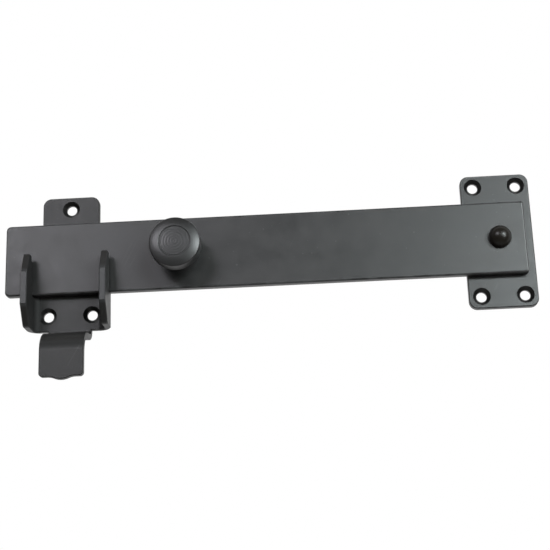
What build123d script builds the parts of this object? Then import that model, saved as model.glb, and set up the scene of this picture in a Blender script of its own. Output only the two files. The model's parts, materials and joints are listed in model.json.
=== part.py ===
from build123d import *
import os
from math import radians, tan

# Drop-bar door bolt: a flat bar that pivots on a screwed plate at its right end, lifts by a
# turned knob, and falls into the two hooks of a folded catch bracket at its left end.
# Frame: X runs along the bar to the right, Y runs into the door, Z is up.
# The origin is the pivot's axis where it meets the door, so y = 0 is the mounting plane
# and everything stands in front of it, towards -Y. All sizes are in millimetres.

# Stock and spacing from the door outwards
sheet = 3.5             # thickness of the pivot plate and of the catch's folded sheet
washer_thickness = 0.8
bar_thickness = 4.5
slip = 0.1              # end play left each side of the bar, so that it turns freely

bar_back = sheet + washer_thickness + slip
bar_front = bar_back + bar_thickness

# Bar
bar_width = 40.0
bar_left = 268.0        # from the pivot to the free end
bar_right = 14.0        # from the pivot to the near end
bar_tip_radius = 2.5    # corners of the free end
bar_heel_radius = 1.2   # corners of the pivot end
bar_edge = 1.0          # rounding of the front's edges
bar_back_edge = 0.5     # bevel of the back's edges

# Pivot plate and its pin
plate_width = 37.0
plate_height = 75.0
plate_corner = 4.5
plate_edge = 0.5        # bevel of the front's edges
plate_hole_dx = 23.3
plate_hole_dz = 61.8
screw_hole_radius = 2.8
screw_sink_radius = 4.75
pin_radius = 4.0
pin_clearance = 0.08    # radial running clearance of the bar on the pin
pin_tail_radius = 5.6   # the riveted tail fills a countersink in the plate's back
dome_radius = 6.15
dome_rim = 0.6          # straight edge under the dome
dome_height = 6.5
washer_radius = 9.0

# Knob
knob_x = -172.9
knob_radius = 13.6
knob_height = 21.6      # from the bar's front to the knob's flat face
knob_rim_back = 12.2    # where the head's deep straight rim begins
knob_rim_front = 20.1   # where it ends
knob_shoulder_radius = 12.9  # the sloping shoulder ends here, and a bevel meets the rim
knob_shoulder_height = 20.7
knob_groove_radius = 8.0
knob_groove_depth = 0.5
knob_groove_width = 0.7
knob_foot_radius = 7.4
knob_foot_height = 1.6
knob_neck_radius = 5.6
knob_neck_back = 3.4
knob_neck_front = 7.6
knob_under_radius = 9.2  # the neck's flare ends here, under the head
knob_under_height = 11.0
knob_edge = 0.7
knob_screw_radius = 2.5
knob_screw_head_radius = 4.6
knob_screw_depth = 11.0  # how far the screw goes into the knob
thread_gap = 0.05
hex_key = 3.0
hex_depth = 1.8

# Catch bracket
catch_x = -233.3
strip_top = 37.0
strip_corner = 4.5
base_bottom = -39.2
tab_hole_z = 30.0
base_hole_z = -30.75
base_hole_dx = 23.9
bend_inner = 3.6
ear_outer = 22.8        # half the width over the two ears
strip_half_width = ear_outer - sheet - bend_inner   # the strip is as wide as the flat of the base
ear_reach = 22.8        # how far the ears stand out from the door
slot_floor = -bar_width / 2 - slip
slot_front = 11.3       # throat's front wall at the slot floor
slot_mouth = 12.4       # the same wall at the prong's tip: the throat opens upwards
slot_back_rise = 1.6    # the bends stand this much higher behind the bar than under it
prong_tip = 1.2
prong_tip_front = 16.8
ear_front_top = -10.5
ear_front_bottom = -27.9
ear_heel = 15.0         # where the lower slope meets the ear's bottom edge
ear_heel_radius = 3.0
prong_tip_radius = 0.9
throat_radius = 1.5
sheet_edge = 0.4        # bevel of the sheet's cut edges
length_match = 0.01     # two lengths this near to each other count as the same

# Finger-pull lip below the catch
lip_half_width = 11.7
lip_front = 24.0
lip_slope = 7.0         # degrees below level, going out from the door
lip_corner_z = -43.1    # where the door-side middle line and the sloping middle line meet
lip_root_bend = 4.35    # middle-line radius at the root
lip_brow_bend = 10.0    # middle-line radius where the lip turns down
lip_end = -68.3
lip_bulge = 1.5         # how far the middle of the lip's end drops below its corners
lip_bulge_half = 7.4
lip_end_corner = 2.0

door_face = Plane.XZ
bar_back_face = Plane.XZ.offset(bar_back)
pivot_axis = Axis((0, 0, 0), (0, 1, 0))
knob_axis = Axis((knob_x, 0, 0), (0, 1, 0))


# Pivot plate: four countersunk screw holes round the riveted pin
with BuildPart() as pivot_plate:
    with BuildSketch(door_face):
        RectangleRounded(plate_width, plate_height, plate_corner)
    extrude(amount=sheet)
    chamfer(pivot_plate.faces().sort_by(Axis.Y)[0].edges(), plate_edge)
    with Locations(door_face.offset(sheet)):
        with GridLocations(plate_hole_dx, plate_hole_dz, 2, 2):
            CounterSinkHole(screw_hole_radius, screw_sink_radius, counter_sink_angle=90)
    with Locations(Plane((0, 0, 0), x_dir=(1, 0, 0), z_dir=(0, 1, 0))):
        CounterSinkHole(pin_radius, pin_tail_radius, counter_sink_angle=90)


# Pivot pin: riveted tail, shank and domed head, turned as one piece
tail_depth = pin_tail_radius - pin_radius
dome_base = bar_front + slip
dome_seat = dome_base + dome_rim
dome_top = dome_base + dome_height
dome_crown = dome_top - dome_seat
dome_sphere = (dome_radius**2 + dome_crown**2) / (2 * dome_crown)
with BuildPart() as pivot_pin:
    with BuildSketch(Plane.XY):
        with BuildLine():
            Polyline(
                (0, -dome_top),
                (0, 0),
                (pin_tail_radius, 0),
                (pin_radius, -tail_depth),
                (pin_radius, -dome_base),
                (dome_radius, -dome_base),
                (dome_radius, -dome_seat),
            )
            RadiusArc((dome_radius, -dome_seat), (0, -dome_top), dome_sphere)
        make_face()
    revolve(axis=pivot_axis)


# Pivot washer: keeps the bar off the plate
with BuildPart() as pivot_washer:
    with BuildSketch(door_face.offset(sheet)):
        Circle(washer_radius)
        Circle(pin_radius + pin_clearance, mode=Mode.SUBTRACT)
    extrude(amount=washer_thickness)


# Drop bar: flat bar with a pivot hole at one end and the knob's screw hole near the other
bar_middle = (bar_right - bar_left) / 2
with BuildPart() as drop_bar:
    with BuildSketch(bar_back_face) as bar_outline:
        with Locations((bar_middle, 0)):
            Rectangle(bar_left + bar_right, bar_width)
        fillet(bar_outline.vertices().group_by(Axis.X)[0], bar_tip_radius)
        fillet(bar_outline.vertices().group_by(Axis.X)[-1], bar_heel_radius)
    extrude(amount=bar_thickness)
    fillet(drop_bar.faces().sort_by(Axis.Y)[0].edges(), bar_edge)
    chamfer(drop_bar.faces().sort_by(Axis.Y)[-1].edges(), bar_back_edge)
    with Locations(bar_back_face):
        Hole(pin_radius + pin_clearance)
    with Locations(Plane((knob_x, -bar_back, 0), x_dir=(1, 0, 0), z_dir=(0, 1, 0))):
        CounterSinkHole(
            knob_screw_radius + thread_gap, knob_screw_head_radius, counter_sink_angle=90
        )


# Knob: foot, waisted neck and a thick head with a sloping shoulder and a ring cut round its face
def knob_point(radius, height):
    """A point of the knob's half outline, by its radius and its height above the bar."""
    return (knob_x + radius, -(bar_front + height))


groove_outer = knob_groove_radius + knob_groove_width / 2
groove_inner = knob_groove_radius - knob_groove_width / 2
groove_bottom = knob_height - knob_groove_depth
with BuildPart() as knob:
    with BuildSketch(Plane.XY):
        with BuildLine():
            Polyline(
                knob_point(0, knob_height),
                knob_point(0, 0),
                knob_point(knob_foot_radius, 0),
                knob_point(knob_foot_radius, knob_foot_height),
                knob_point(knob_neck_radius, knob_neck_back),
                knob_point(knob_neck_radius, knob_neck_front),
                knob_point(knob_under_radius, knob_under_height),
                knob_point(knob_radius - knob_edge, knob_rim_back),
                knob_point(knob_radius, knob_rim_back + knob_edge),
                knob_point(knob_radius, knob_rim_front),
                knob_point(knob_shoulder_radius, knob_shoulder_height),
                knob_point(groove_outer, knob_height),
                knob_point(groove_outer, groove_bottom),
                knob_point(groove_inner, groove_bottom),
                knob_point(groove_inner, knob_height),
                knob_point(0, knob_height),
            )
        make_face()
    revolve(axis=knob_axis)
    with Locations(Plane((knob_x, -bar_front, 0), x_dir=(1, 0, 0), z_dir=(0, 1, 0))):
        Hole(knob_screw_radius + thread_gap, depth=knob_screw_depth + slip)


# Knob screw: countersunk in the bar's back, with a hexagon socket
screw_head_depth = knob_screw_head_radius - knob_screw_radius
with BuildPart() as knob_screw:
    with BuildSketch(Plane.XY):
        with BuildLine():
            Polyline(
                (knob_x, -bar_back),
                (knob_x + knob_screw_head_radius, -bar_back),
                (knob_x + knob_screw_radius, -bar_back - screw_head_depth),
                (knob_x + knob_screw_radius, -bar_front - knob_screw_depth),
                (knob_x, -bar_front - knob_screw_depth),
                close=True,
            )
        make_face()
    revolve(axis=knob_axis)
    with BuildSketch(Plane((knob_x, -bar_back, 0), x_dir=(1, 0, 0), z_dir=(0, 1, 0))):
        RegularPolygon(hex_key / 2, 6, major_radius=False)
    extrude(amount=-hex_depth, mode=Mode.SUBTRACT)


# Finger-pull lip: the sheet leaves the catch's bottom edge, slopes out and turns down
lip_middle = lip_front - sheet / 2
lip_brow_z = lip_corner_z - (lip_middle - sheet / 2) * tan(radians(lip_slope))
with BuildPart() as finger_lip:
    with BuildSketch(Plane.YZ.offset(catch_x)):
        with BuildLine():
            FilletPolyline(
                (-sheet / 2, base_hole_z),
                (-sheet / 2, lip_corner_z),
                (-lip_middle, lip_brow_z),
                (-lip_middle, lip_end - 2 * lip_bulge),
                radius=[lip_root_bend, lip_brow_bend],
            )
        trace(line_width=sheet)
    extrude(amount=lip_half_width, both=True)
    # Front view of the lip: straight sides, rounded corners and a bulge at the middle of its end
    with BuildSketch(door_face):
        with BuildLine():
            Polyline(
                (catch_x - lip_half_width, lip_end + lip_end_corner),
                (catch_x - lip_half_width, base_hole_z),
                (catch_x + lip_half_width, base_hole_z),
                (catch_x + lip_half_width, lip_end + lip_end_corner),
            )
            for side in (-1, 1):
                TangentArc(
                    (catch_x + side * lip_half_width, lip_end + lip_end_corner),
                    (catch_x + side * (lip_half_width - lip_end_corner), lip_end),
                    tangent=(0, -1),
                )
                Line(
                    (catch_x + side * (lip_half_width - lip_end_corner), lip_end),
                    (catch_x + side * lip_bulge_half, lip_end),
                )
                TangentArc(
                    (catch_x + side * lip_bulge_half, lip_end),
                    (catch_x + side * lip_bulge_half / 2, lip_end - lip_bulge / 2),
                    tangent=(-side, 0),
                )
            ThreePointArc(
                (catch_x - lip_bulge_half / 2, lip_end - lip_bulge / 2),
                (catch_x, lip_end - lip_bulge),
                (catch_x + lip_bulge_half / 2, lip_end - lip_bulge / 2),
            )
        make_face()
    extrude(amount=lip_front, mode=Mode.INTERSECT)


# Catch bracket: one folded sheet with a screw tab, a base, two hooked ears and the lip
base_height = slot_floor - base_bottom
ear_flat = 2 * sheet + bend_inner / 2


def rim_edges(low, high, rearmost=0):
    """The edges round the bracket's two skins whose middles lie between two heights.

    Edges farther back than the third value are left out, and so are those across the sheet
    and the lines along its bends.
    """
    skipped = (sheet, base_height, 2 * lip_half_width)
    between = catch_bracket.edges().filter_by_position(Axis.Z, low, high)
    in_front = between.filter_by_position(Axis.Y, -lip_front, rearmost)
    return [
        edge for edge in in_front
        if all(abs(edge.length - size) > length_match for size in skipped)
    ]


def fold_plan(height):
    """Plan of the fold at one height: the base between its two ears."""
    with BuildSketch(Plane.XY.offset(height)) as plan:
        with BuildLine():
            FilletPolyline(
                (catch_x - ear_outer + sheet / 2, -ear_reach),
                (catch_x - ear_outer + sheet / 2, -sheet / 2),
                (catch_x + ear_outer - sheet / 2, -sheet / 2),
                (catch_x + ear_outer - sheet / 2, -ear_reach),
                radius=bend_inner + sheet / 2,
            )
        trace(line_width=sheet)
    return plan.sketch


whole_fold = fold_plan(base_bottom)
upper_fold = fold_plan(slot_floor - sheet_edge)

# Tops of the two bends, behind the bar
with BuildPart() as bend_tops:
    add(upper_fold)
    extrude(amount=slot_back_rise + sheet_edge)
    with BuildSketch(door_face):
        with Locations((catch_x, slot_floor)):
            Rectangle(2 * ear_outer, base_height)
    extrude(amount=sheet, mode=Mode.INTERSECT)

with BuildPart() as catch_bracket:
    # The fold, raised from the bottom edge to the prong tips
    add(whole_fold)
    extrude(amount=prong_tip - base_bottom)
    # Side view of an ear: slot for the bar, upright hook, sloped tip and sloped underside
    with BuildSketch(Plane.YZ.offset(catch_x)) as ear_side:
        with BuildLine():
            Polyline(
                (0, base_bottom),
                (0, slot_floor),
                (-slot_front, slot_floor),
                (-slot_mouth, prong_tip),
                (-prong_tip_front, prong_tip),
                (-ear_reach, ear_front_top),
                (-ear_reach, ear_front_bottom),
                (-ear_heel, base_bottom),
                close=True,
            )
        make_face()
        fillet(ear_side.vertices().group_by(Axis.Y)[-1].sort_by(Axis.X), prong_tip_radius)
        fillet(ear_side.vertices().sort_by_distance((-slot_front, slot_floor))[0], throat_radius)
        fillet(ear_side.vertices().sort_by_distance((-ear_heel, base_bottom))[0], ear_heel_radius)
    extrude(amount=ear_outer, both=True, mode=Mode.INTERSECT)
    # Flat strip from the bottom edge up behind the bar to the tab
    with BuildSketch(door_face) as strip:
        with BuildLine():
            Polyline(
                (catch_x - strip_half_width, base_bottom),
                (catch_x - strip_half_width, strip_top),
                (catch_x + strip_half_width, strip_top),
                (catch_x + strip_half_width, base_bottom),
                close=True,
            )
        make_face()
        fillet(strip.vertices().group_by(Axis.Y)[-1], strip_corner)
    extrude(amount=sheet)
    add(finger_lip.part)
    # Bevelled cut edges of the tab, then of the ears and the base that they lead to, then of the lip
    chamfer(rim_edges(tab_hole_z - strip_half_width, strip_top), sheet_edge)
    chamfer(rim_edges(base_bottom, prong_tip, rearmost=-ear_flat), sheet_edge)
    chamfer(rim_edges(lip_end - lip_bulge, base_bottom - sheet_edge), sheet_edge)
    add(bend_tops.part)
    with Locations(door_face.offset(sheet)):
        with Locations((catch_x, tab_hole_z)):
            CounterSinkHole(screw_hole_radius, screw_sink_radius, counter_sink_angle=90)
        with Locations((catch_x, base_hole_z)):
            with GridLocations(base_hole_dx, 0, 2, 1):
                CounterSinkHole(screw_hole_radius, screw_sink_radius, counter_sink_angle=90)


pivot_plate.part.label = "pivot_plate"
pivot_pin.part.label = "pivot_pin"
pivot_washer.part.label = "pivot_washer"
drop_bar.part.label = "drop_bar"
knob.part.label = "knob"
knob_screw.part.label = "knob_screw"
catch_bracket.part.label = "catch_bracket"

os.makedirs("parts", exist_ok=True)
export_step(pivot_plate.part, "parts/pivot_plate.step")
export_step(pivot_pin.part, "parts/pivot_pin.step")
export_step(pivot_washer.part, "parts/pivot_washer.step")
export_step(drop_bar.part, "parts/drop_bar.step")
export_step(knob.part, "parts/knob.step")
export_step(knob_screw.part, "parts/knob_screw.step")
export_step(catch_bracket.part, "parts/catch_bracket.step")
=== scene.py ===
"""Looks of a pivoting drop-bar door latch: satin black steel, a turned knob and a domed pin.

Sizes in dataclass fields are in millimetres unless a field says otherwise. They are turned into
metres where a mesh or a material is made.
"""

import json
import logging
from dataclasses import dataclass, field, replace
from enum import Enum
from math import cos, pi, radians, sin, sqrt, tan
from typing import Any, Optional, Union

import bpy
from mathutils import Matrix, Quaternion, Vector

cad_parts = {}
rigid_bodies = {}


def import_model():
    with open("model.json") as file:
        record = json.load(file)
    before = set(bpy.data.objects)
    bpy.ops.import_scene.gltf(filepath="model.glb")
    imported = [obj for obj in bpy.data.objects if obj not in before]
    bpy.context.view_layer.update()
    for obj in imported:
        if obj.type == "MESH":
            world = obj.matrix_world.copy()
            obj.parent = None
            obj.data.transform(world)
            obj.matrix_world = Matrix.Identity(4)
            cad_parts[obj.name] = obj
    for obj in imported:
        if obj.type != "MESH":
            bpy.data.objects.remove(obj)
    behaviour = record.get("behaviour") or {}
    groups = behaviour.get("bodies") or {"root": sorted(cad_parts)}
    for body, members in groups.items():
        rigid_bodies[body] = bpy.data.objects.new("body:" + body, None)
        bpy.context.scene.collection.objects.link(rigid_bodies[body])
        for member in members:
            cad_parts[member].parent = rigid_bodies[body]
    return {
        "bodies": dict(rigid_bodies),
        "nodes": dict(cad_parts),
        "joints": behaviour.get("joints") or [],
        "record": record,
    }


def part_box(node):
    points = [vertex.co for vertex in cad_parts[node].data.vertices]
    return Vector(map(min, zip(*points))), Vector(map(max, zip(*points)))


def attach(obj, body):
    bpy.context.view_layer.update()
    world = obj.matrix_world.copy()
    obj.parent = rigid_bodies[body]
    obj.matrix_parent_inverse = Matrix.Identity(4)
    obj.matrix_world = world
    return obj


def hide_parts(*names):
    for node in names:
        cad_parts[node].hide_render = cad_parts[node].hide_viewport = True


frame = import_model()

LOG = logging.getLogger("latch")
MM = 0.001
WELD = 0.002          # how close points of a turned piece are merged, in millimetres
NOISE_MIDDLE = 0.5    # the value that a noise varies round
Colour = tuple[float, float, float]
Point = tuple[float, float]
Limits = tuple[float, float]
Place = tuple[float, float, float]


class Socket:
    """An output socket that takes part in Python arithmetic by adding Math nodes to its tree."""

    def __init__(self, net: "Net", socket: bpy.types.NodeSocket) -> None:
        """Wraps a socket.

        Args:
            net: The node tree that the socket is in.
            socket: The output socket.
        """
        self.net = net
        self.socket = socket

    def math(self, operation: str, *others: Any, first: Any = None) -> "Socket":
        """Adds one Math node.

        Args:
            operation: Blender's name of the operation.
            others: The values or sockets after the first.
            first: What takes the first place, if it isn't this socket.

        Returns:
            The node's result.
        """
        values = [self if first is None else first, *others]
        return self.net.add("ShaderNodeMath", {"operation": operation}, dict(enumerate(values)))

    def __add__(self, other: Any) -> "Socket":
        """Adds."""
        return self.math("ADD", other)

    __radd__ = __add__

    def __sub__(self, other: Any) -> "Socket":
        """Subtracts."""
        return self.math("SUBTRACT", other)

    def __rsub__(self, other: Any) -> "Socket":
        """Subtracts this socket from a value."""
        return self.math("SUBTRACT", self, first=other)

    def __mul__(self, other: Any) -> "Socket":
        """Multiplies."""
        return self.math("MULTIPLY", other)

    __rmul__ = __mul__

    def __truediv__(self, other: Any) -> "Socket":
        """Divides."""
        return self.math("DIVIDE", other)

    def __pow__(self, other: Any) -> "Socket":
        """Raises to a power."""
        return self.math("POWER", other)

    def above(self, limit: Any) -> "Socket":
        """Gives 1 where the value is more than the limit, and 0 elsewhere."""
        return self.math("GREATER_THAN", limit)

    def least(self, other: Any) -> "Socket":
        """Gives the smaller of two values."""
        return self.math("MINIMUM", other)

    def most(self, other: Any) -> "Socket":
        """Gives the larger of two values."""
        return self.math("MAXIMUM", other)

    def fade(self, start: float, end: float) -> "Socket":
        """Goes smoothly from 0 at one value to 1 at another.

        Args:
            start: Where the result is 0.
            end: Where the result is 1.

        Returns:
            The faded value.
        """
        settings = {"interpolation_type": "SMOOTHSTEP"}
        values = {"Value": self, "From Min": start, "From Max": end}
        return self.net.add("ShaderNodeMapRange", settings, values)

    def parts(self) -> tuple["Socket", "Socket", "Socket"]:
        """Splits a vector into its three numbers.

        Returns:
            Its x, y and z.
        """
        split = self.net.node("ShaderNodeSeparateXYZ", {}, {"Vector": self})
        x, y, z = (Socket(self.net, output) for output in split.outputs)
        return x, y, z


class Net:
    """A node tree that is filled by calls."""

    def __init__(self, tree: bpy.types.NodeTree) -> None:
        """Takes over a tree.

        Args:
            tree: A shader or geometry node tree.
        """
        self.tree = tree

    def node(self, kind: str, settings: dict[str, Any], values: dict[Any, Any]) -> bpy.types.Node:
        """Makes one node of any type.

        Args:
            kind: The node's type.
            settings: Its own settings, set first.
            values: What each input, by name or number, is set to or linked from.

        Returns:
            The node.
        """
        node = self.tree.nodes.new(kind)
        for name, setting in settings.items():
            setattr(node, name, setting)
        for name, value in values.items():
            if isinstance(value, Socket):
                self.tree.links.new(value.socket, node.inputs[name])
            else:
                node.inputs[name].default_value = value
        return node

    def add(self, kind: str, settings: dict[str, Any], values: dict[Any, Any],
            output: Union[int, str] = 0) -> Socket:
        """Makes one node and gives one of its outputs.

        Args:
            kind: The node's type.
            settings: Its own settings.
            values: What each input is set to or linked from.
            output: The wanted output's name or number.

        Returns:
            The output.
        """
        return Socket(self, self.node(kind, settings, values).outputs[output])

    def noise(self, coords: Socket, size: float, detail: float = 3.0) -> Socket:
        """Adds a soft noise.

        Args:
            coords: Where it is read.
            size: How large its clouds are, in millimetres.
            detail: How many finer layers it has.

        Returns:
            A value round 0.5.
        """
        values = {"Vector": coords, "Scale": 1.0 / (size * MM), "Detail": detail}
        return self.add("ShaderNodeTexNoise", {}, values)

    def blend(self, share: Socket, first: Union[Colour, Socket], second: Colour) -> Socket:
        """Mixes two colours.

        Args:
            share: How much of the second colour there is, from 0 to 1.
            first: The colour at 0, linear.
            second: The colour at 1, linear.

        Returns:
            The colour.
        """
        first = first if isinstance(first, Socket) else (*first, 1.0)
        values = {0: share, 6: first, 7: (*second, 1.0)}
        return self.add("ShaderNodeMix", {"data_type": "RGBA"}, values, 2)


class Marks(Enum):
    """How a metal surface was worked before it was coated."""

    ROLLED = "rolled"
    TURNED = "turned"


@dataclass(frozen=True, kw_only=True)
class CoatPlace:
    """A place on a piece where the coat differs from the rest."""

    # The dark default colour is painted shade, for holes, grooves and bends.
    colour: Colour = (0.002, 0.002, 0.002)
    share: float = 0.8
    roughness: float

    def mask(self, coords: Socket) -> Socket:
        """Gives 1 at the place and 0 elsewhere.

        Args:
            coords: Object coordinates.

        Returns:
            The mask.
        """
        raise NotImplementedError


@dataclass(frozen=True, kw_only=True)
class ShadedSunkHoles(CoatPlace):
    """Up to four countersunk holes round a middle point, with painted shade that darkens the coat inside
    them.
    """

    x: float
    z: float
    half_x: float = 0.0
    half_z: float = 0.0
    radius: float = 4.75
    ease: float = 0.1
    roughness: float = 0.30

    def mask(self, coords: Socket) -> Socket:
        """Gives 1 inside the holes.

        Args:
            coords: Object coordinates.

        Returns:
            The mask.
        """
        x, _, z = coords.parts()
        across = (x - self.x * MM).math("ABSOLUTE") - self.half_x * MM
        up = (z - self.z * MM).math("ABSOLUTE") - self.half_z * MM
        reach = (across ** 2.0 + up ** 2.0) ** 0.5
        return reach.fade(self.radius * MM, (self.radius - self.ease) * MM)


@dataclass(frozen=True, kw_only=True)
class ShadedRingGroove(CoatPlace):
    """A narrow groove round the middle of a turned face, where the coat is rough and painted shade
    darkens it.
    """

    x: float
    z: float
    radius: float
    half_width: float
    ease: float = 0.1
    roughness: float = 0.48

    def mask(self, coords: Socket) -> Socket:
        """Gives 1 in the groove.

        Args:
            coords: Object coordinates.

        Returns:
            The mask.
        """
        x, _, z = coords.parts()
        reach = ((x - self.x * MM) ** 2.0 + (z - self.z * MM) ** 2.0) ** 0.5
        away = (reach - self.radius * MM).math("ABSOLUTE")
        return away.fade((self.half_width + self.ease) * MM, self.half_width * MM)


@dataclass(frozen=True, kw_only=True)
class PaleEarFronts(CoatPlace):
    """The front edges of the two ears, painted paler above the finger lip."""

    start: float
    full: float
    low: float
    colour: Colour = (0.034, 0.035, 0.037)
    share: float = 0.5
    roughness: float = 0.43

    def mask(self, coords: Socket) -> Socket:
        """Gives 1 in front of a level, above the finger lip.

        Args:
            coords: Object coordinates.

        Returns:
            The mask.
        """
        _, y, z = coords.parts()
        return y.fade(self.start * MM, self.full * MM) * z.above(self.low * MM)


@dataclass(frozen=True, kw_only=True)
class DullShadedBends(CoatPlace):
    """The bends of the folded catch and the brow of its lip: forming has dulled the coat there, and
    painted shade darkens it.
    """

    x: float
    flat_half: float
    bend_width: float
    brow_top: float
    brow_low: float
    brow_reach: float = 4.0
    ease: float = 0.5
    roughness: float = 0.75

    def mask(self, coords: Socket) -> Socket:
        """Gives 1 on the two upright bends and on the brow of the lip.

        Args:
            coords: Object coordinates.

        Returns:
            The mask.
        """
        x, _, z = coords.parts()
        across = (x - self.x * MM).math("ABSOLUTE")
        start = self.flat_half
        end = start + self.bend_width
        inner = across.fade(start * MM, (start + self.ease) * MM)
        outer = across.fade(end * MM, (end + self.ease) * MM)
        brow = z.fade(self.brow_low * MM, self.brow_top * MM)
        under_base = z.fade((self.brow_top + self.brow_reach) * MM, self.brow_top * MM)
        return (inner - outer).most(brow * under_base)


@dataclass(frozen=True)
class BlackCoat:
    """A black coat over steel, with faint clouds, a fine grain, hairlines, specks, and a paler rim that
    is edge wear and a painted highlight along the edges.
    """

    name: str
    deep: Colour
    pale: Colour
    # Paler colour of hairlines and specks; on the rim it is also a painted edge highlight.
    pale_wear_highlight_colour: Colour
    roughness: float
    gloss: float
    marks: Marks = Marks.ROLLED
    cloud_size: float = 26.0
    smudge_size: float = 9.0
    mottle_size: float = 3.0
    mottle: float = 0.11
    grain_size: float = 0.55
    grain_depth: float = 0.012
    speck_size: float = 1.5
    speck_limits: Limits = (0.80, 0.84)
    speck_wear: float = 0.5
    cloud_share: float = 0.6
    smudge_share: float = 0.4
    shade_limits: Limits = (0.3, 0.7)
    cloud_patches: float = 1.2
    smudge_patches: float = 1.6
    hairline_slant: float = 28.0
    hairline_stretch: Place = (1.0, 3.0, 26.0)
    hairline_size: float = 1.4
    hairline_patch: float = 16.0
    hairline_limits: Limits = (0.66, 0.74)
    patch_limits: Limits = (0.5, 0.62)
    hairline_wear: float = 0.18
    hairline_smooth: float = 0.08
    rim_wear_and_highlight: float = 0.8
    rim_limits: Limits = (0.35, 0.6)
    turning_pitch: float = 0.45
    turning_depth: float = 0.0015
    places: tuple[CoatPlace, ...] = ()

    def material(self, low: Vector, high: Vector, rim: float = 0.0) -> bpy.types.Material:
        """Makes the material for one piece.

        Args:
            low: The piece's lowest corner, in metres.
            high: The piece's highest corner, in metres.
            rim: How wide the paler rim of a flat rectangular piece is, edge wear and a painted edge
                highlight, or 0 for none.

        Returns:
            The material.
        """
        material = bpy.data.materials.new(self.name)
        material.use_nodes = True
        material.node_tree.nodes.clear()
        net = Net(material.node_tree)
        coords = net.add("ShaderNodeTexCoord", {}, {}, "Object")
        smudges = net.noise(coords, self.smudge_size, detail=5.0)
        mottle = net.noise(coords, self.mottle_size, detail=4.0)
        clouds = net.noise(coords, self.cloud_size)
        shade = self.cloud_share * clouds + self.smudge_share * smudges
        hairlines = self.hairlines(net, coords)
        specks = net.noise(coords, self.speck_size, detail=0.0)
        specks = specks.fade(*self.speck_limits)
        marks_and_highlight = hairlines * self.hairline_wear + specks * self.speck_wear
        # The rim band is paler: edge wear, and a painted highlight along the edges.
        if rim:
            patchy = smudges.fade(*self.rim_limits)
            marks_and_highlight = marks_and_highlight + self.rim_wear_and_highlight * self.rim(coords, low, high, rim) * patchy
        coat = net.blend(shade.fade(*self.shade_limits), self.deep, self.pale)
        colour = net.blend(marks_and_highlight, coat, self.pale_wear_highlight_colour)
        height = net.noise(coords, self.grain_size, detail=2.0) * (self.grain_depth * MM)
        patches = (clouds - NOISE_MIDDLE) * self.cloud_patches
        patches = patches + (smudges - NOISE_MIDDLE) * self.smudge_patches
        patches = patches + (mottle - NOISE_MIDDLE)
        roughness = self.roughness + patches * self.mottle
        roughness = roughness - hairlines * self.hairline_smooth
        # Painted shade darkens the holes, the ring groove and the bends; the ear fronts are painted
        # paler.
        for place in self.places:
            mask = place.mask(coords)
            colour = net.blend(mask * place.share, colour, place.colour)
            roughness = roughness + (place.roughness - roughness) * mask
        if self.marks is Marks.TURNED:
            height = height + self.rings(coords, (low + high) / 2) * (self.turning_depth * MM)
        bump = net.add("ShaderNodeBump", {}, {"Strength": 1.0, "Distance": 1.0, "Height": height})
        values = {
            "Base Color": colour,
            "Roughness": roughness,
            "Specular IOR Level": self.gloss,
            "Normal": bump,
        }
        surface = net.add("ShaderNodeBsdfPrincipled", {}, values)
        net.node("ShaderNodeOutputMaterial", {}, {"Surface": surface})
        return material

    def hairlines(self, net: Net, coords: Socket) -> Socket:
        """Draws a few faint scratches that cross the piece at a slant.

        Args:
            net: The material's tree.
            coords: Object coordinates.

        Returns:
            1 on a scratch and 0 off it.
        """
        turn = (0.0, radians(self.hairline_slant), 0.0)
        values = {"Vector": coords, "Rotation": turn, "Scale": self.hairline_stretch}
        stretched = net.add("ShaderNodeMapping", {"vector_type": "TEXTURE"}, values)
        streaks = net.noise(stretched, self.hairline_size, detail=1.0)
        patches = net.noise(coords, self.hairline_patch, detail=1.0)
        return streaks.fade(*self.hairline_limits) * patches.fade(*self.patch_limits)

    @staticmethod
    def rim(coords: Socket, low: Vector, high: Vector, width: float) -> Socket:
        """Marks a band inside the four edges of a flat rectangular piece, where wear and a painted edge
        highlight go.

        Args:
            coords: Object coordinates.
            low: The piece's lowest corner, in metres.
            high: The piece's highest corner, in metres.
            width: How wide the band is, in millimetres.

        Returns:
            1 at an edge and 0 beyond the band.
        """
        x, _, z = coords.parts()
        inside = (x - low.x).least(high.x - x).least(z - low.z).least(high.z - z)
        return inside.fade(width * MM, 0.0)

    def rings(self, coords: Socket, axis: Vector) -> Socket:
        """Draws the fine rings that a lathe tool leaves.

        Args:
            coords: Object coordinates.
            axis: A point of the piece's turning axis, which runs along Y, in metres.

        Returns:
            A wave from -1 to 1.
        """
        x, _, z = coords.parts()
        radius = ((x - axis.x) ** 2.0 + (z - axis.z) ** 2.0) ** 0.5
        return (radius * (2 * pi / (self.turning_pitch * MM))).math("SINE")


ROLLED = BlackCoat(
    name="black_steel_satin",
    deep=(0.0065, 0.0068, 0.0070),
    pale=(0.0135, 0.0130, 0.0130),
    pale_wear_highlight_colour=(0.045, 0.046, 0.047),
    roughness=0.387,
    gloss=0.5,
)
PLATE = replace(
    ROLLED,
    name="black_plate_satin",
    places=(ShadedSunkHoles(x=0.0, z=0.0, half_x=11.65, half_z=30.9),),
)
FOLDED = BlackCoat(
    name="black_bracket_satin",
    deep=(0.0062, 0.0060, 0.0058),
    pale=(0.0112, 0.0110, 0.0107),
    pale_wear_highlight_colour=(0.040, 0.040, 0.040),
    roughness=0.45,
    gloss=0.43,
    places=(
        ShadedSunkHoles(x=-233.3, z=-30.75, half_x=11.95),
        ShadedSunkHoles(x=-233.3, z=30.0),
        DullShadedBends(x=-233.3, flat_half=15.7, bend_width=3.6, brow_top=-51.0, brow_low=-55.0),
        PaleEarFronts(start=-21.4, full=-22.2, low=-39.0),
    ),
)
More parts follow.
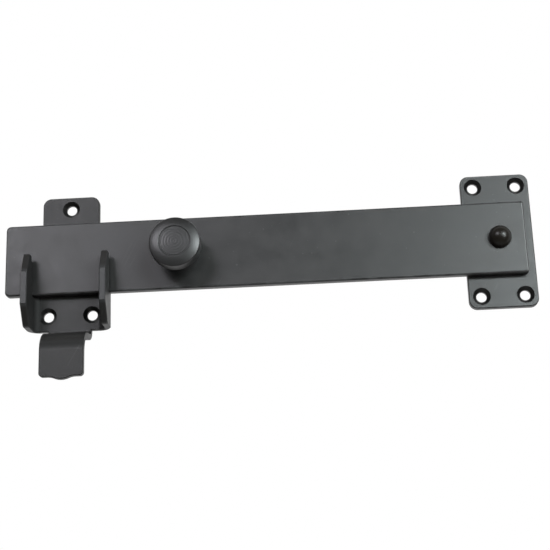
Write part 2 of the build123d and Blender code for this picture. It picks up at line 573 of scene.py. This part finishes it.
TURNED = BlackCoat(
    name="black_knob_turned",
    deep=(0.0075, 0.0075, 0.0078),
    pale=(0.0120, 0.0120, 0.0125),
    pale_wear_highlight_colour=(0.045, 0.046, 0.047),
    roughness=0.375,
    gloss=0.5,
    marks=Marks.TURNED,
    mottle=0.04,
    grain_depth=0.003,
    places=(ShadedRingGroove(x=-172.9, z=0.0, radius=8.0, half_width=0.35),),
)
POLISHED = BlackCoat(
    name="black_pin_gloss",
    deep=(0.0065, 0.0055, 0.0042),
    pale=(0.0085, 0.0072, 0.0056),
    pale_wear_highlight_colour=(0.015, 0.014, 0.013),
    roughness=0.31,
    gloss=0.26,
    mottle=0.04,
    grain_depth=0.003,
)


def corner_arc(before: Point, corner: Point, after: Point, radius: float, steps: int = 5) -> list[Point]:
    """Rounds one corner of an outline.

    Args:
        before: The point before the corner.
        corner: The corner.
        after: The point after it.
        radius: The rounding's radius.
        steps: How many runs the arc has.

    Returns:
        The arc's points, from the side of the point before.
    """
    here = Vector(corner)
    back = (Vector(before) - here).normalized()
    ahead = (Vector(after) - here).normalized()
    half = back.angle(ahead) / 2
    middle = here + (back + ahead).normalized() * (radius / sin(half))
    start = here + back * (radius / tan(half)) - middle
    end = here + ahead * (radius / tan(half)) - middle
    turn = start.angle_signed(end)
    points = []
    for step in range(steps + 1):
        angle = -turn * step / steps
        x = start.x * cos(angle) - start.y * sin(angle)
        y = start.x * sin(angle) + start.y * cos(angle)
        points.append((middle.x + x, middle.y + y))
    return points


def rounded(points: list[Point], radius: float) -> list[Point]:
    """Rounds every inner corner of an open outline by the same radius.

    Args:
        points: The outline's corners.
        radius: The rounding's radius.

    Returns:
        The rounded outline.
    """
    outline = [points[0]]
    for before, corner, after in zip(points, points[1:], points[2:]):
        outline += corner_arc(before, corner, after, radius)
    return outline + [points[-1]]


def leaning_arc(start: Point, first: float, last: float, radius: float, steps: int = 10) -> list[Point]:
    """Draws an arc that goes outwards and leans down more and more.

    Args:
        start: Its inner end.
        first: How far it leans there, in degrees.
        last: How far it leans at its outer end, in degrees.
        radius: The arc's radius.
        steps: How many runs it has.

    Returns:
        The arc's points.
    """
    leans = [radians(first + (last - first) * step / steps) for step in range(steps + 1)]
    x = start[0] - radius * sin(leans[0])
    y = start[1] - radius * cos(leans[0])
    return [(x + radius * sin(lean), y + radius * cos(lean)) for lean in leans]


class LatheTree:
    """A Geometry Nodes tree that turns an outline round an axis along Y."""

    def __init__(self) -> None:
        """Builds the tree with its named inputs."""
        self.tree = bpy.data.node_groups.new("lathe", "GeometryNodeTree")
        face = self.tree.interface
        face.new_socket("Outline", in_out="INPUT", socket_type="NodeSocketGeometry")
        face.new_socket("Segments", in_out="INPUT", socket_type="NodeSocketInt")
        face.new_socket("Axis", in_out="INPUT", socket_type="NodeSocketVector")
        face.new_socket("Mark Pitch", in_out="INPUT", socket_type="NodeSocketFloat")
        face.new_socket("Mark Depth", in_out="INPUT", socket_type="NodeSocketFloat")
        face.new_socket("Mark Reach", in_out="INPUT", socket_type="NodeSocketFloat")
        face.new_socket("Material", in_out="INPUT", socket_type="NodeSocketMaterial")
        face.new_socket("Turned", in_out="OUTPUT", socket_type="NodeSocketGeometry")
        self.fill()

    def fill(self) -> None:
        """Adds the nodes: a grid is wrapped round the axis, one row for each outline point."""
        net = Net(self.tree)
        group = net.node("NodeGroupInput", {}, {})
        given = {output.name: Socket(net, output) for output in group.outputs if output.name}
        outline = given["Outline"]
        count = net.add("GeometryNodeAttributeDomainSize", {}, {"Geometry": outline}, "Point Count")
        sizes = {"Size X": 1.0, "Size Y": 1.0, "Vertices X": count, "Vertices Y": given["Segments"] + 1}
        grid = net.node("GeometryNodeMeshGrid", {}, sizes)
        along, around, _ = Socket(net, grid.outputs["UV Map"]).parts()
        row = (along * (count - 1)).math("ROUND")
        position = net.add("GeometryNodeInputPosition", {}, {})
        settings = {"data_type": "FLOAT_VECTOR"}
        values = {"Geometry": outline, "Value": position, "Index": row}
        radius, back, height = net.add("GeometryNodeSampleIndex", settings, values).parts()
        wave = (radius * (2 * pi) / given["Mark Pitch"]).math("COSINE")
        marked = given["Mark Reach"].math("GREATER_THAN", radius) * height.above(0.0)
        depth = (1.0 - wave) * 0.5 * given["Mark Depth"] * marked + back
        angle = around * (2 * pi)
        values = {0: radius * angle.math("COSINE"), 1: depth - height, 2: radius * angle.math("SINE")}
        turned = net.add("ShaderNodeCombineXYZ", {}, values)
        place = net.add("ShaderNodeVectorMath", {"operation": "ADD"}, {0: turned, 1: given["Axis"]})
        mesh = Socket(net, grid.outputs["Mesh"])
        moved = net.add("GeometryNodeSetPosition", {}, {"Geometry": mesh, "Position": place})
        values = {"Geometry": moved, "Distance": WELD * MM}
        closed = net.add("GeometryNodeMergeByDistance", {}, values)
        smooth = net.add("GeometryNodeSetShadeSmooth", {}, {"Geometry": closed, "Shade Smooth": True})
        real = net.add("GeometryNodeRealizeInstances", {}, {"Geometry": smooth})
        values = {"Geometry": real, "Material": given["Material"]}
        coated = net.add("GeometryNodeSetMaterial", {}, values)
        net.node("NodeGroupOutput", {}, {"Turned": coated})

    def turn(self, name: str, outline: list[Point], inputs: dict[str, Any]) -> bpy.types.Object:
        """Turns an outline into a piece.

        Args:
            name: The piece's name.
            outline: Radius and height of each point, in millimetres, from the front to the back.
            inputs: The tree's inputs by name, in metres.

        Returns:
            The piece, with a plain mesh and no modifier.
        """
        mesh = bpy.data.meshes.new(name)
        corners = [(radius * MM, 0.0, height * MM) for radius, height in outline]
        mesh.from_pydata(corners, [(i, i + 1) for i in range(len(corners) - 1)], [])
        blank = bpy.data.objects.new(name, mesh)
        bpy.context.scene.collection.objects.link(blank)
        modifier = blank.modifiers.new("lathe", "NODES")
        modifier.node_group = self.tree
        for item in self.tree.interface.items_tree:
            if item.in_out == "INPUT" and item.name in inputs:
                modifier[item.identifier] = inputs[item.name]
        evaluated = blank.evaluated_get(bpy.context.evaluated_depsgraph_get())
        solid = bpy.data.meshes.new_from_object(evaluated)
        blank.modifiers.clear()
        blank.data = solid
        return blank


@dataclass
class Bench:
    """Where the pieces are dressed: the CAD frame, and the lathe for the turned ones."""

    frame: dict[str, Any]
    lathe: LatheTree = field(default_factory=LatheTree)
    segments: int = 144

    def coat(self, node: str, finish: BlackCoat, rim: float = 0.0) -> None:
        """Puts a finish on a CAD node, whose shape stays.

        Args:
            node: The node's name.
            finish: Its coat.
            rim: How wide the paler rim is, edge wear and a painted edge highlight, or 0 for none.
        """
        low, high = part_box(node)
        materials = self.frame["nodes"][node].data.materials
        materials.clear()
        materials.append(finish.material(low, high, rim))
        LOG.info("%s: coated with %s", node, finish.name)

    def turn(self, name: str, node: str, body: str, slot: str, finish: BlackCoat,
             outline: list[Point], pitch: float = 1.0, depth: float = 0.0, reach: float = 0.0) -> None:
        """Turns a piece that stands for a CAD node, round the middle of the node's box.

        Args:
            name: The piece's name.
            node: The node it stands for.
            body: The body it rides on.
            slot: The record's material slot; not used.
            finish: Its coat.
            outline: Radius and height of each point, from the front to the back.
            pitch: How far apart the tool marks are.
            depth: How deep they are.
            reach: How far from the axis they go.
        """
        low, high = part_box(node)
        middle = (low + high) / 2
        inputs = {
            "Segments": self.segments,
            "Axis": (middle.x, high.y, middle.z),
            "Mark Pitch": pitch * MM,
            "Mark Depth": depth * MM,
            "Mark Reach": reach * MM,
            "Material": finish.material(low, high),
        }
        piece = self.lathe.turn(name, outline, inputs)
        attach(piece, body)
        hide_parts(node)
        LOG.info("%s: %d faces, stands for %s", name, len(piece.data.polygons), node)


@dataclass
class PivotMount:
    """The fixed right end: the plate, the washer and the domed pin that the bar turns on."""

    plate_rim: float = 1.6
    dome_rim: float = 0.6
    dome_height: float = 6.5
    dome_rows: int = 26
    shank_radius: float = 4.0
    tail_radius: float = 5.6
    pin_edge: float = 0.15

    def pin_outline(self) -> list[Point]:
        """Gives the pin's half outline, whose reach and length are the node's.

        Returns:
            Radius and height of each point, in millimetres, from the front to the back.
        """
        low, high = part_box("pivot_pin")
        top = (high.y - low.y) / MM
        dome_radius = (high.x - low.x) / 2 / MM
        head_back = top - self.dome_height
        rise = self.dome_height - self.dome_rim
        sphere = (dome_radius**2 + rise**2) / (2 * rise)
        dome = []
        for row in range(self.dome_rows + 1):
            radius = dome_radius * sin(pi / 2 * row / self.dome_rows)
            dome.append((radius, top - sphere + sqrt(sphere**2 - radius**2)))
        shank = [
            (dome_radius, head_back + self.dome_rim),
            (dome_radius, head_back),
            (self.shank_radius, head_back),
            (self.shank_radius, self.tail_radius - self.shank_radius),
            (self.tail_radius, 0.0),
        ]
        return dome + rounded(shank, self.pin_edge)[1:] + [(0.0, 0.0)]

    def build(self, bench: Bench) -> None:
        """Coats the plate and the washer, and turns the pin.

        Args:
            bench: The bench to work at.
        """
        bench.coat("pivot_plate", PLATE, self.plate_rim)
        bench.coat("pivot_washer", POLISHED)
        bench.turn("domed_pin", "pivot_pin", "fixed", "black_pin", POLISHED, self.pin_outline())


@dataclass
class SwingBar:
    """The moving part: the flat bar, the turned knob and the screw that holds it."""

    bar_rim: float = 1.6
    foot_radius: float = 7.4
    foot_height: float = 1.6
    neck_radius: float = 5.6
    neck_back: float = 3.4
    neck_front: float = 7.6
    under_radius: float = 9.2
    under_height: float = 11.0
    rim_back: float = 12.2
    rim_round: float = 0.8
    edge_radius: float = 0.8
    shoulder_start: float = 6.0
    shoulder_end: float = 22.0
    face_rise: float = 0.26
    face_rows: int = 70
    ring_radius: float = 8.0
    ring_width: float = 0.7
    ring_depth: float = 0.5
    ring_edge: float = 0.1
    corner: float = 0.3
    mark_pitch: float = 1.5
    mark_depth: float = 0.042

    def knob_outline(self) -> list[Point]:
        """Gives the knob's half outline, whose reach and height are the node's.

        Returns:
            Radius and height of each point, in millimetres, from the front to the back.
        """
        low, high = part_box("knob")
        top = (high.y - low.y) / MM
        rim_radius = (high.x - low.x) / 2 / MM
        inner = self.ring_radius - self.ring_width / 2
        outer = self.ring_radius + self.ring_width / 2
        seat = top - self.face_rise
        face = []
        for row in range(self.face_rows):
            radius = inner * row / self.face_rows
            face.append((radius, top - self.face_rise * (radius / inner) ** 2))
        floor = top - self.ring_depth
        ring = [face.pop(), (inner, seat), (inner, floor), (outer, floor), (outer, seat)]
        ring = rounded(ring, self.ring_edge)
        shallow = sin(radians(self.shoulder_start))
        steep = sin(radians(self.shoulder_end))
        reach = rim_radius - self.edge_radius * (1 - steep) - outer
        radius = reach / (steep - shallow)
        shoulder = leaning_arc((outer, seat), self.shoulder_start, self.shoulder_end, radius)
        edge = leaning_arc(shoulder[-1], self.shoulder_end, 90.0, self.edge_radius)
        stem = [
            edge[-1],
            (rim_radius, self.rim_back + self.rim_round),
            (rim_radius - self.rim_round, self.rim_back),
            (self.under_radius, self.under_height),
            (self.neck_radius, self.neck_front),
            (self.neck_radius, self.neck_back),
            (self.foot_radius, self.foot_height),
            (self.foot_radius, 0.0),
        ]
        return face + ring + shoulder[1:] + edge[1:-1] + rounded(stem, self.corner) + [(0.0, 0.0)]

    def build(self, bench: Bench) -> None:
        """Coats the bar and the screw, and turns the knob.

        Args:
            bench: The bench to work at.
        """
        bench.coat("drop_bar", ROLLED, self.bar_rim)
        bench.coat("knob_screw", POLISHED)
        face_edge = self.ring_radius - self.ring_width
        bench.turn("turned_knob", "knob", "bar", "black_knob", TURNED, self.knob_outline(),
                   self.mark_pitch, self.mark_depth, face_edge)


@dataclass
class Catch:
    """The fixed left end: one folded sheet with two hooks and a finger lip."""

    finish: BlackCoat = FOLDED

    def build(self, bench: Bench) -> None:
        """Coats the bracket.

        Args:
            bench: The bench to work at.
        """
        bench.coat("catch_bracket", self.finish)


@dataclass(frozen=True)
class SoftBox:
    """A soft lamp that looks at the latch. Its distance and sizes are in metres."""

    name: str
    azimuth: float
    elevation: float
    distance: float
    wide: float
    tall: float
    watts: float
    tint: Colour = (1.0, 1.0, 1.0)
    spread: float = 90.0

    def light(self, target: Place) -> None:
        """Hangs the lamp.

        Args:
            target: What it looks at. Azimuth 0 is straight in front of it, and 90 on its right.
        """
        lamp = bpy.data.lights.new(self.name, "AREA")
        lamp.shape = "RECTANGLE"
        lamp.size = self.wide
        lamp.size_y = self.tall
        lamp.energy = self.watts
        lamp.spread = radians(self.spread)
        lamp.color = self.tint
        turn, lift = radians(self.azimuth), radians(self.elevation)
        away = Vector((sin(turn) * cos(lift), -cos(turn) * cos(lift), sin(lift)))
        holder = bpy.data.objects.new(self.name, lamp)
        holder.location = Vector(target) + away * self.distance
        holder.rotation_euler = (-away).to_track_quat("-Z", "Y").to_euler()
        bpy.context.scene.collection.objects.link(holder)


@dataclass
class Studio:
    """Camera, lamps, pale floor and white background. Lengths are in metres."""

    camera_place: Place = (-0.09459, -0.63557, -0.20335)
    camera_target: Place = (-0.12175, 0.0, -0.0124)
    camera_roll: float = -2.075
    picture_width: int = 550
    focal_pixels: float = 1220.9
    sensor: float = 36.0
    floor_height: float = -0.9
    floor_half: float = 6.0
    floor_cloud: float = 900.0
    floor_dark: Colour = (0.78, 0.78, 0.77)
    floor_pale: Colour = (0.84, 0.84, 0.84)
    floor_roughness: float = 0.9
    floor_gloss: float = 0.1
    floor_glow: float = 0.75
    ambient: Colour = (0.172, 0.158, 0.140)
    backdrop_blur: float = 0.25
    lamp_target: Place = (-0.12, 0.0, 0.0)
    lamps: list[SoftBox] = field(default_factory=lambda: [
        SoftBox("key_lamp", -28.9, 22.0, 1.6, 0.72, 0.45, 2.88, (1.0, 0.993, 1.06)),
        SoftBox("right_lamp", 29.2, 14.6, 1.4, 0.80, 0.26, 3.6, (0.91, 1.0, 1.01)),
        SoftBox("side_lamp", 40.0, 6.0, 1.3, 0.35, 0.80, 2.9, (0.94, 1.0, 1.0)),
    ])

    def set_camera(self) -> None:
        """Puts the camera where the photograph was taken from."""
        camera = bpy.data.cameras.new("photo_camera")
        camera.sensor_width = self.sensor
        camera.lens = self.sensor * self.focal_pixels / self.picture_width
        holder = bpy.data.objects.new("photo_camera", camera)
        holder.location = self.camera_place
        aim = Vector(self.camera_target) - Vector(self.camera_place)
        roll = Quaternion((0.0, 0.0, 1.0), radians(self.camera_roll))
        holder.rotation_euler = (aim.to_track_quat("-Z", "Y") @ roll).to_euler()
        bpy.context.scene.collection.objects.link(holder)
        bpy.context.scene.camera = holder

    @staticmethod
    def rays(net: Net) -> tuple[Socket, Socket, Socket]:
        """Tells camera, glossy and transmission rays apart.

        Args:
            net: The tree of a material or of the world.

        Returns:
            One mask for each.
        """
        path = net.node("ShaderNodeLightPath", {}, {})
        names = ("Is Camera Ray", "Is Glossy Ray", "Is Transmission Ray")
        seen, glossy, through = (Socket(net, path.outputs[name]) for name in names)
        return seen, glossy, through

    def lay_floor(self) -> None:
        """Lays a plain pale floor below the camera."""
        half = self.floor_half
        mesh = bpy.data.meshes.new("floor")
        corners = [(-half, -half), (half, -half), (half, half), (-half, half)]
        mesh.from_pydata([(x, y, self.floor_height) for x, y in corners], [], [(0, 1, 2, 3)])
        floor = bpy.data.objects.new("floor", mesh)
        bpy.context.scene.collection.objects.link(floor)
        material = bpy.data.materials.new("pale_floor")
        material.use_nodes = True
        material.node_tree.nodes.clear()
        net = Net(material.node_tree)
        coords = net.add("ShaderNodeTexCoord", {}, {}, "Object")
        cloud = net.noise(coords, self.floor_cloud)
        colour = net.blend(cloud, self.floor_dark, self.floor_pale)
        values = {
            "Base Color": colour,
            "Roughness": self.floor_roughness,
            "Specular IOR Level": self.floor_gloss,
        }
        surface = net.add("ShaderNodeBsdfPrincipled", {}, values)
        white = net.add("ShaderNodeEmission", {}, {"Color": (1.0, 1.0, 1.0, 1.0), "Strength": 1.0})
        seen, glossy, through = self.rays(net)
        _, away, _ = coords.parts()
        mirrored = glossy.most(through) * away.fade(0.0, self.backdrop_blur)
        share = (seen * self.floor_glow).most(mirrored)
        mixed = net.add("ShaderNodeMixShader", {}, {0: share, 1: surface, 2: white})
        net.node("ShaderNodeOutputMaterial", {}, {"Surface": mixed})
        mesh.materials.append(material)

    def set_world(self) -> None:
        """Makes a white background that metal shows too, and a dim grey room in front of it."""
        world = bpy.data.worlds.new("studio")
        world.use_nodes = True
        world.node_tree.nodes.clear()
        bpy.context.scene.world = world
        net = Net(world.node_tree)
        seen, glossy, through = self.rays(net)
        _, away, _ = net.add("ShaderNodeTexCoord", {}, {}, "Generated").parts()
        behind = away.fade(-self.backdrop_blur, self.backdrop_blur)
        colour = net.blend(seen.most(glossy.most(through) * behind), self.ambient, (1.0, 1.0, 1.0))
        sky = net.add("ShaderNodeBackground", {}, {"Color": colour, "Strength": 1.0})
        net.node("ShaderNodeOutputWorld", {}, {"Surface": sky})

    def build(self) -> None:
        """Sets up everything round the latch."""
        bpy.context.scene.view_settings.view_transform = "Standard"
        self.set_camera()
        self.lay_floor()
        self.set_world()
        for lamp in self.lamps:
            lamp.light(self.lamp_target)
        LOG.info("studio: %d lamps", len(self.lamps))


def main(studio: Optional[Studio] = None) -> None:
    """Dresses the latch and lights it.

    Args:
        studio: The surroundings, if not the usual ones.
    """
    logging.basicConfig(level=logging.INFO, format="%(name)s %(message)s")
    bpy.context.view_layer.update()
    (studio or Studio()).build()
    bench = Bench(frame)
    for assembly in (PivotMount(), SwingBar(), Catch()):
        assembly.build(bench)


if __name__ == "__main__":
    main()
